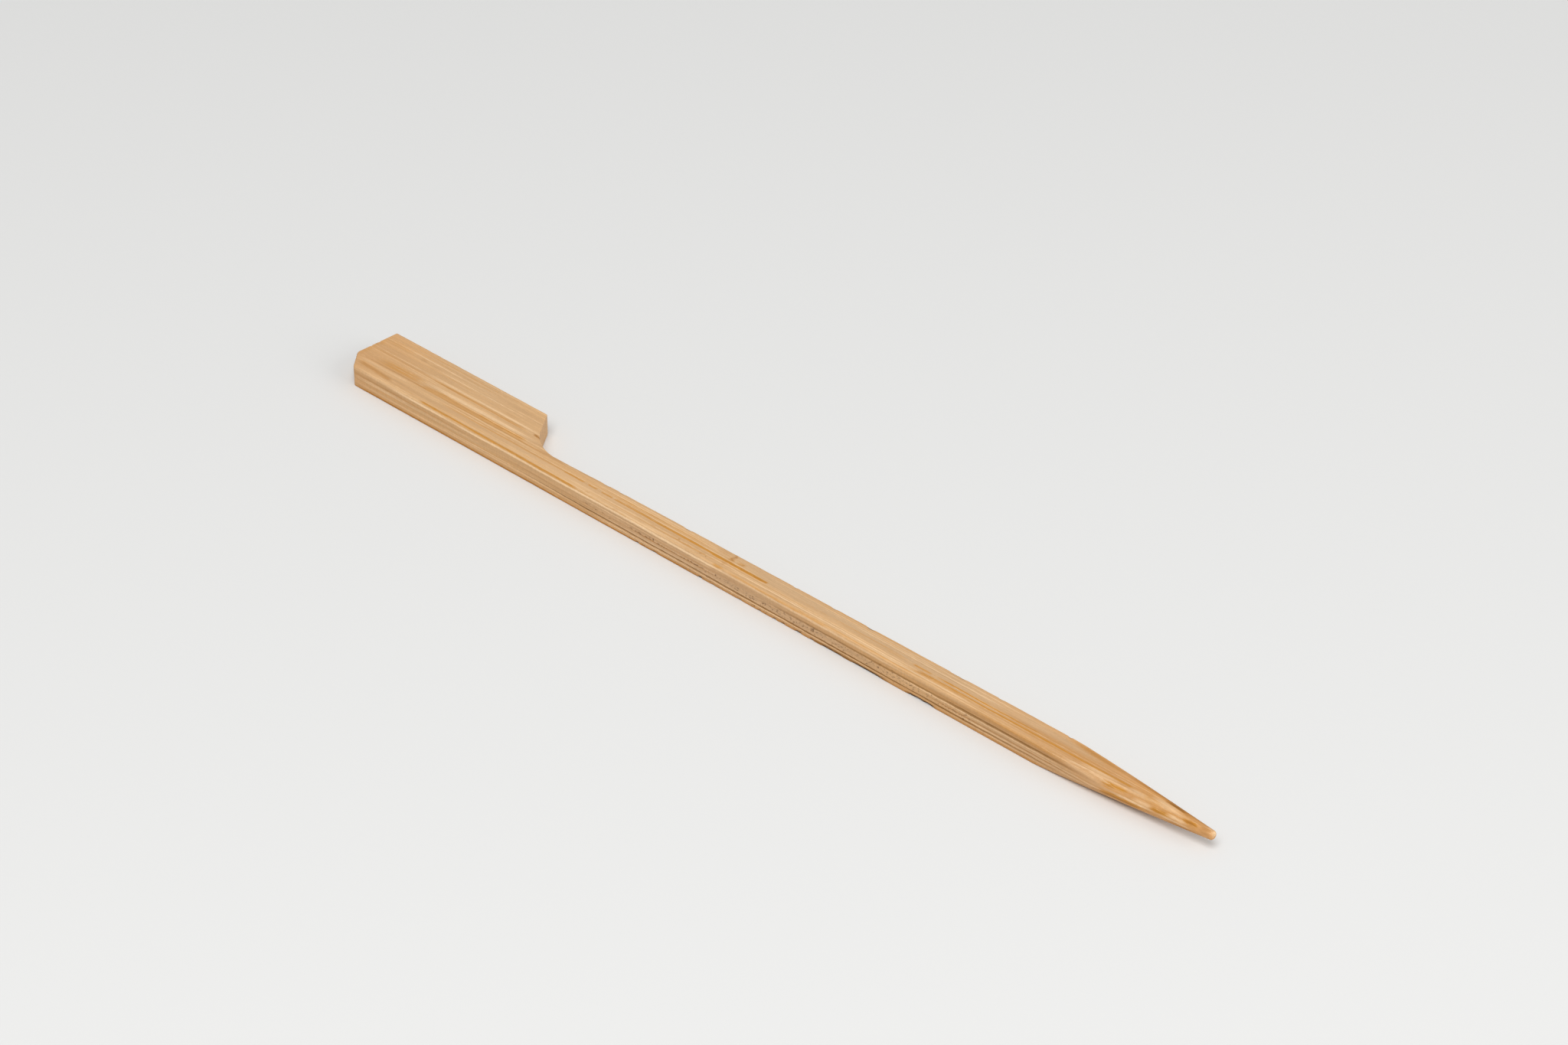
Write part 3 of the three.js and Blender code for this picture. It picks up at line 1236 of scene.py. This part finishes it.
        # The pit attribute holds the share of painted shade from pits and chips
        names = ("sawn", "pit", "cut")
        sawn, pit, cut = (graph.node("Attribute", {"attribute_name": name}, {}, "Fac") for name in names)

        place = spot
        for stretch, detail, reach in self.wavers:
            waver = graph.vector("SUBTRACT", graph.noise(spot, stretch, detail, "Color"), (0.5, 0.5, 0.5))
            place = graph.vector("MULTIPLY_ADD", waver, reach, place)

        broad = graph.noise(place, (0.03, 1.1, 1.1), 2)
        fibre = graph.noise(place, (0.05, 3.8, 3.8), 3)
        hair = graph.noise(place, (0.2, 12.0, 12.0), 2)
        speck = graph.noise(place, (4.5, 8.0, 8.0), 2)
        strand = graph.noise(place, (0.035, 5.2, 5.2), 1)

        along = graph.vector("DOT_PRODUCT", place, (1.0, 0.0, 0.0))
        colour = graph.blend(broad.step(0.3, 0.7), self.ground_dull, self.ground)
        greyness = along.step(*self.grey_start) * (1 - along.step(*self.grey_end))
        greyed = graph.blend(greyness, self.sawn, self.sawn_grey)
        colour = graph.blend(sawn * 0.85, colour, greyed)
        ripeness = along.step(*self.ripe_start) * 0.75 + 0.5 * (1 - along.step(*self.ripe_grip))
        colour = graph.blend(ripeness, colour, self.ripe)
        masks = {}
        for bundle in bundles:
            mask = self.bundle_mask(graph, place, bundle)
            masks[bundle.tint] = masks[bundle.tint].above(mask) if bundle.tint in masks else mask
        strands = self.strand_strength * (1 - 0.75 * cut)
        masks[Tint.GOLD] = masks[Tint.GOLD].above(strand.step(0.6, 0.75) * strands)
        masks[Tint.CREAM] = masks[Tint.CREAM].above((1 - strand.step(0.27, 0.42)) * strands)
        masks[Tint.PORE] = masks[Tint.PORE] * self.dots(graph, place)
        uneven = 0.4 + 0.6 * fibre + 0.6 * graph.noise(place, (1.5, 7.0, 7.0), 2)
        for tint in Tint:
            share = graph.math("MULTIPLY", masks[tint], uneven, clamp=True)
            colour = graph.blend(share, colour, tint.value)
        colour = graph.shade(colour, 0.52 + 0.32 * fibre + 0.4 * hair + 0.28 * speck)
        dotted = cut * (0.6 - 0.45 * along.step(6.0, 14.0))
        colour = graph.blend(dotted * self.vessels(graph, place), colour, self.vessel)
        rough_shade = 0.81 + 0.38 * graph.noise(spot, (5.5, 1.7, 1.7), 3)
        colour = graph.blend(sawn * 0.8, colour, graph.shade(colour, rough_shade))
        # Painted shade in the pits and chips, darker where they are deeper
        colour = graph.blend(pit.step(0.1, 1.0) * 0.85, colour, self.pit)

        height = fibre * 0.6 + hair * 0.5 + speck * 0.3 + sawn * rough_shade * 1.2
        relief = {"Strength": self.bump, "Distance": self.bump_depth, "Height": height}
        normal = graph.node("Bump", {}, relief)
        rough = self.roughness + 0.12 * speck - 0.12 * masks[Tint.GOLD]
        shader = graph.node("BsdfPrincipled", {}, {
            "Base Color": colour, "Roughness": rough, "Normal": normal,
            "Specular IOR Level": self.specular,
        })
        graph.node("OutputMaterial", {}, {"Surface": shader}, None)
        return made


@dataclass
class Pick:
    """The finished pick: its body in its bamboo."""

    body: PickBody
    finish: PlanedBamboo

    @classmethod
    def in_cad_box(cls, node: str) -> "Pick":
        """Takes the pick's outer sizes from a CAD node's box.

        Args:
            node: The node's name.

        Returns:
            The pick.
        """
        low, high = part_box(node)
        size = (high - low) / MM
        return cls(PickBody(size.x, size.y, size.z, low), PlanedBamboo())

    def build(self) -> bpy.types.Object:
        """Builds the strip and puts it in the CAD node's place.

        Returns:
            The strip.
        """
        strip = self.body.build()
        self.dress(strip)
        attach(strip, "root")
        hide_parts(CAD_NODE)
        return strip

    def dress(self, strip: bpy.types.Object) -> None:
        """Gives the strip its material.

        Args:
            strip: The strip.
        """
        bundles = SEEN_BUNDLES + hidden_bundles(seed=4)
        strip.data.materials.append(self.finish.material(self.body.origin, bundles))


@dataclass(frozen=True)
class SoftLamp:
    """A square area lamp that is aimed at the frame's origin."""

    name: str
    place: Triple
    size: float
    power: float
    colour: Triple = (1.0, 1.0, 1.0)

    def build(self) -> None:
        """Adds the lamp."""
        light = bpy.data.lights.new(self.name, "AREA")
        light.shape = "SQUARE"
        light.size = self.size
        light.energy = self.power
        light.color = self.colour
        lamp = add_object(self.name, light)
        lamp.location = self.place
        lamp.rotation_euler = Vector(self.place).to_track_quat("Z", "Y").to_euler()


@dataclass(frozen=True)
class Studio:
    """A plain pale floor in soft light."""

    floor_size: float = 6.0
    floor_colour: Colour = (0.8, 0.8, 0.79, 1.0)
    backdrop_colour: Colour = (0.86, 0.86, 0.85, 1.0)
    fill_colour: Colour = (1.0, 1.0, 1.0, 1.0)
    fill_strength: float = 0.42
    lamps: tuple[SoftLamp, ...] = (
        SoftLamp("key", (0.30, -0.42, 0.82), size=0.6, power=6.2),
        SoftLamp("side", (0.88, 0.16, 0.42), size=0.6, power=2.5),
    )

    def build(self) -> None:
        """Adds the floor, the backdrop and the lamps."""
        self.build_floor()
        self.build_backdrop()
        for lamp in self.lamps:
            lamp.build()

    def build_floor(self) -> None:
        """Adds the floor, which the pick lies on."""
        shape = bmesh.new()
        bmesh.ops.create_grid(shape, x_segments=1, y_segments=1, size=self.floor_size / 2)
        mesh = bpy.data.meshes.new("floor")
        shape.to_mesh(mesh)
        shape.free()
        paint = bpy.data.materials.new("floor_paint")
        graph = Graph(paint)
        matte = {"Base Color": self.floor_colour, "Roughness": 0.9, "Specular IOR Level": 0.1}
        shader = graph.node("BsdfPrincipled", {}, matte)
        graph.node("OutputMaterial", {}, {"Surface": shader}, None)
        mesh.materials.append(paint)
        add_object("floor", mesh)

    def build_backdrop(self) -> None:
        """Makes the world: pale where it is seen, white where it only gives light."""
        world = bpy.data.worlds.new("studio")
        bpy.context.scene.world = world
        graph = Graph(world)
        rays = ("Is Camera Ray", "Is Glossy Ray", "Is Transmission Ray")
        seen, mirrored, through = (graph.node("LightPath", {}, {}, ray) for ray in rays)
        pale = graph.node("Background", {}, {0: self.backdrop_colour, 1: 1.0})
        fill = graph.node("Background", {}, {0: self.fill_colour, 1: self.fill_strength})
        share = seen.above(mirrored * 0.5).above(through)
        shader = graph.node("MixShader", {}, {0: share, 1: fill, 2: pale})
        graph.node("OutputWorld", {}, {"Surface": shader}, None)


@dataclass(frozen=True)
class View:
    """The camera: where it stands and which way it looks, in the part's frame."""

    place: Triple = (0.254960, -0.255808, 0.240721)
    azimuth: float = 44.613
    elevation: float = 32.879
    roll: float = 0.114
    lens: float = 100.0
    sensor: float = 36.0

    def build(self) -> None:
        """Adds the camera and makes it the scene's own."""
        data = bpy.data.cameras.new("camera")
        data.lens = self.lens
        data.sensor_width = self.sensor
        data.sensor_fit = "HORIZONTAL"
        data.clip_start = 0.01
        camera = add_object("camera", data)
        turn = Matrix.Rotation(math.radians(self.azimuth), 4, "Z")
        tilt = Matrix.Rotation(math.radians(90 - self.elevation), 4, "X")
        level = Matrix.Rotation(math.radians(self.roll), 4, "Z")
        camera.matrix_world = Matrix.Translation(self.place) @ turn @ tilt @ level
        bpy.context.scene.camera = camera


def main() -> None:
    """Builds the pick, the studio and the camera in order."""
    logging.basicConfig(level=logging.INFO)
    strip = Pick.in_cad_box(CAD_NODE).build()
    LOG.info("strip: %d vertices, %d faces", len(strip.data.vertices), len(strip.data.polygons))
    Studio().build()
    View().build()
    bpy.context.scene.view_settings.view_transform = "Standard"


if __name__ == "__main__":
    main()
